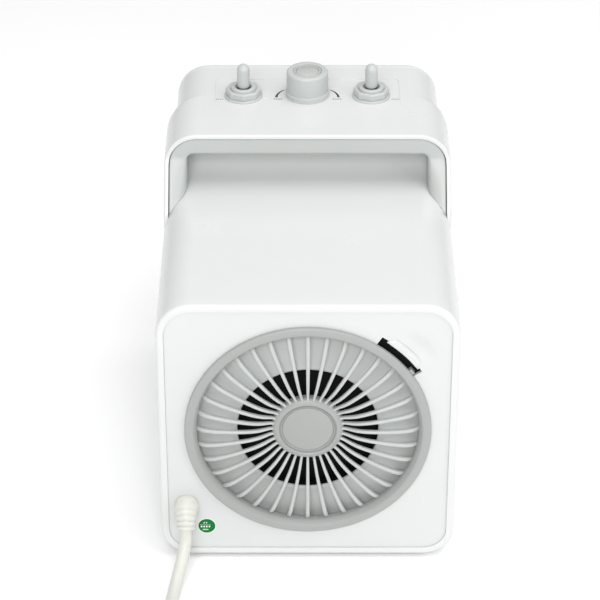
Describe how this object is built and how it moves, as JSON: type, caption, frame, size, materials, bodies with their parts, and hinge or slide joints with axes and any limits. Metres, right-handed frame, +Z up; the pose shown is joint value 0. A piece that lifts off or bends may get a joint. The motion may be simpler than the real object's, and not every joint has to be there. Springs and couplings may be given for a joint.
{
  "type": "ceramic space heater",
  "caption": "Compact ceramic space heater: rounded box housing with round ribbed rear intake grille, front outlet louvres, handle, thermostat knob, toggle switches and a coiled mains cord.",
  "frame": {"origin": "middle of the heater's footprint on the floor, measured without the cord, coil and plug", "axes": "+Z up; +Y the way the warm air leaves, from the rear intake grille to the front outlet; +X to the right seen from behind"},
  "size_m": [0.1943, 0.4807, 0.2567],
  "materials": {
    "white_shell": "glossy moulded ABS",
    "grey_trim": "satin moulded ABS",
    "pale_grey": "satin moulded ABS",
    "black_mesh": "matte",
    "dark_grille": "satin",
    "rubber_feet": "matte",
    "steel": "zinc plated",
    "black_plastic": "matte",
    "element_frame": "matte heat-resistant resin",
    "ceramic": "matte",
    "fins": "plain rolled",
    "board": "solder resist",
    "green_sticker": "gloss laminated label",
    "cord_grey": "soft PVC",
    "brass_pins": "polished"
  },
  "bodies": {
    "root": {"rear_housing": "white_shell", "front_shell": "white_shell", "handle_liner": "grey_trim", "control_panel": "white_shell", "rear_panel": "white_shell", "inlet_funnel": "pale_grey", "filter_mesh": "black_mesh", "front_bezel": "white_shell", "outlet_grille": "dark_grille", "base_plate": "white_shell", "feet": "rubber_feet", "base_screws": "steel", "tipover_housing": "black_plastic", "fan_shroud": "black_plastic", "motor_bracket": "steel", "motor": "steel", "bracket_screws": "steel", "heater_duct": "black_plastic", "element_frame": "element_frame", "ceramic_bars": "ceramic", "radiator_fins": "fins", "thermal_cutouts": "steel", "thermostat": "black_plastic", "toggle_body_left": "black_plastic", "toggle_collar_left": "grey_trim", "toggle_body_right": "black_plastic", "toggle_collar_right": "grey_trim", "circuit_board": "board", "terminal_block": "white_shell", "qc_sticker": "green_sticker", "strain_relief": "cord_grey", "cord": "cord_grey", "cord_coil": "cord_grey", "coil_tie": "black_plastic", "plug_body": "cord_grey", "plug_pins": "brass_pins"},
    "grille": {"rear_grille": "grey_trim", "hub_disc": "grey_trim"},
    "latch": {"latch_tab": "white_shell"},
    "fan": {"fan_impeller": "black_plastic", "motor_shaft": "steel"},
    "knob_body": {"knob": "grey_trim", "knob_disc": "grey_trim", "thermostat_shaft": "steel"},
    "toggle_left": {"toggle_lever_left": "grey_trim"},
    "toggle_right": {"toggle_lever_right": "grey_trim"},
    "plunger": {"tipover_plunger": "black_plastic"}
  },
  "joints": [
    {"name": "grille_twist", "type": "hinge", "parent": "root", "child": "grille", "pos_m": [0, -0.1267, 0.1007], "axis": [0, 1, 0], "range_deg": [-20, 0]},
    {"name": "latch_slide", "type": "slide", "parent": "root", "child": "latch", "axis": [0.7193, 0, 0.6947], "range_m": [0, 0.0025], "stiffness_N_per_m": 300},
    {"name": "fan_spin", "type": "hinge", "parent": "root", "child": "fan", "pos_m": [0, -0.078, 0.1007], "axis": [0, 1, 0], "continuous": true},
    {"name": "knob_turn", "type": "hinge", "parent": "root", "child": "knob_body", "pos_m": [0, 0.0825, 0.232], "axis": [0, 0, 1], "range_deg": [-135, 135]},
    {"name": "toggle_left_rock", "type": "hinge", "parent": "root", "child": "toggle_left", "pos_m": [-0.0432, 0.0807, 0.2355], "axis": [0, 1, 0], "range_deg": [-11, 11]},
    {"name": "toggle_right_rock", "type": "hinge", "parent": "root", "child": "toggle_right", "pos_m": [0.0432, 0.0807, 0.2355], "axis": [0, 1, 0], "range_deg": [-11, 11]},
    {"name": "tipover_slide", "type": "slide", "parent": "root", "child": "plunger", "axis": [0, 0, -1], "range_m": [0, 0.003]}
  ]
}
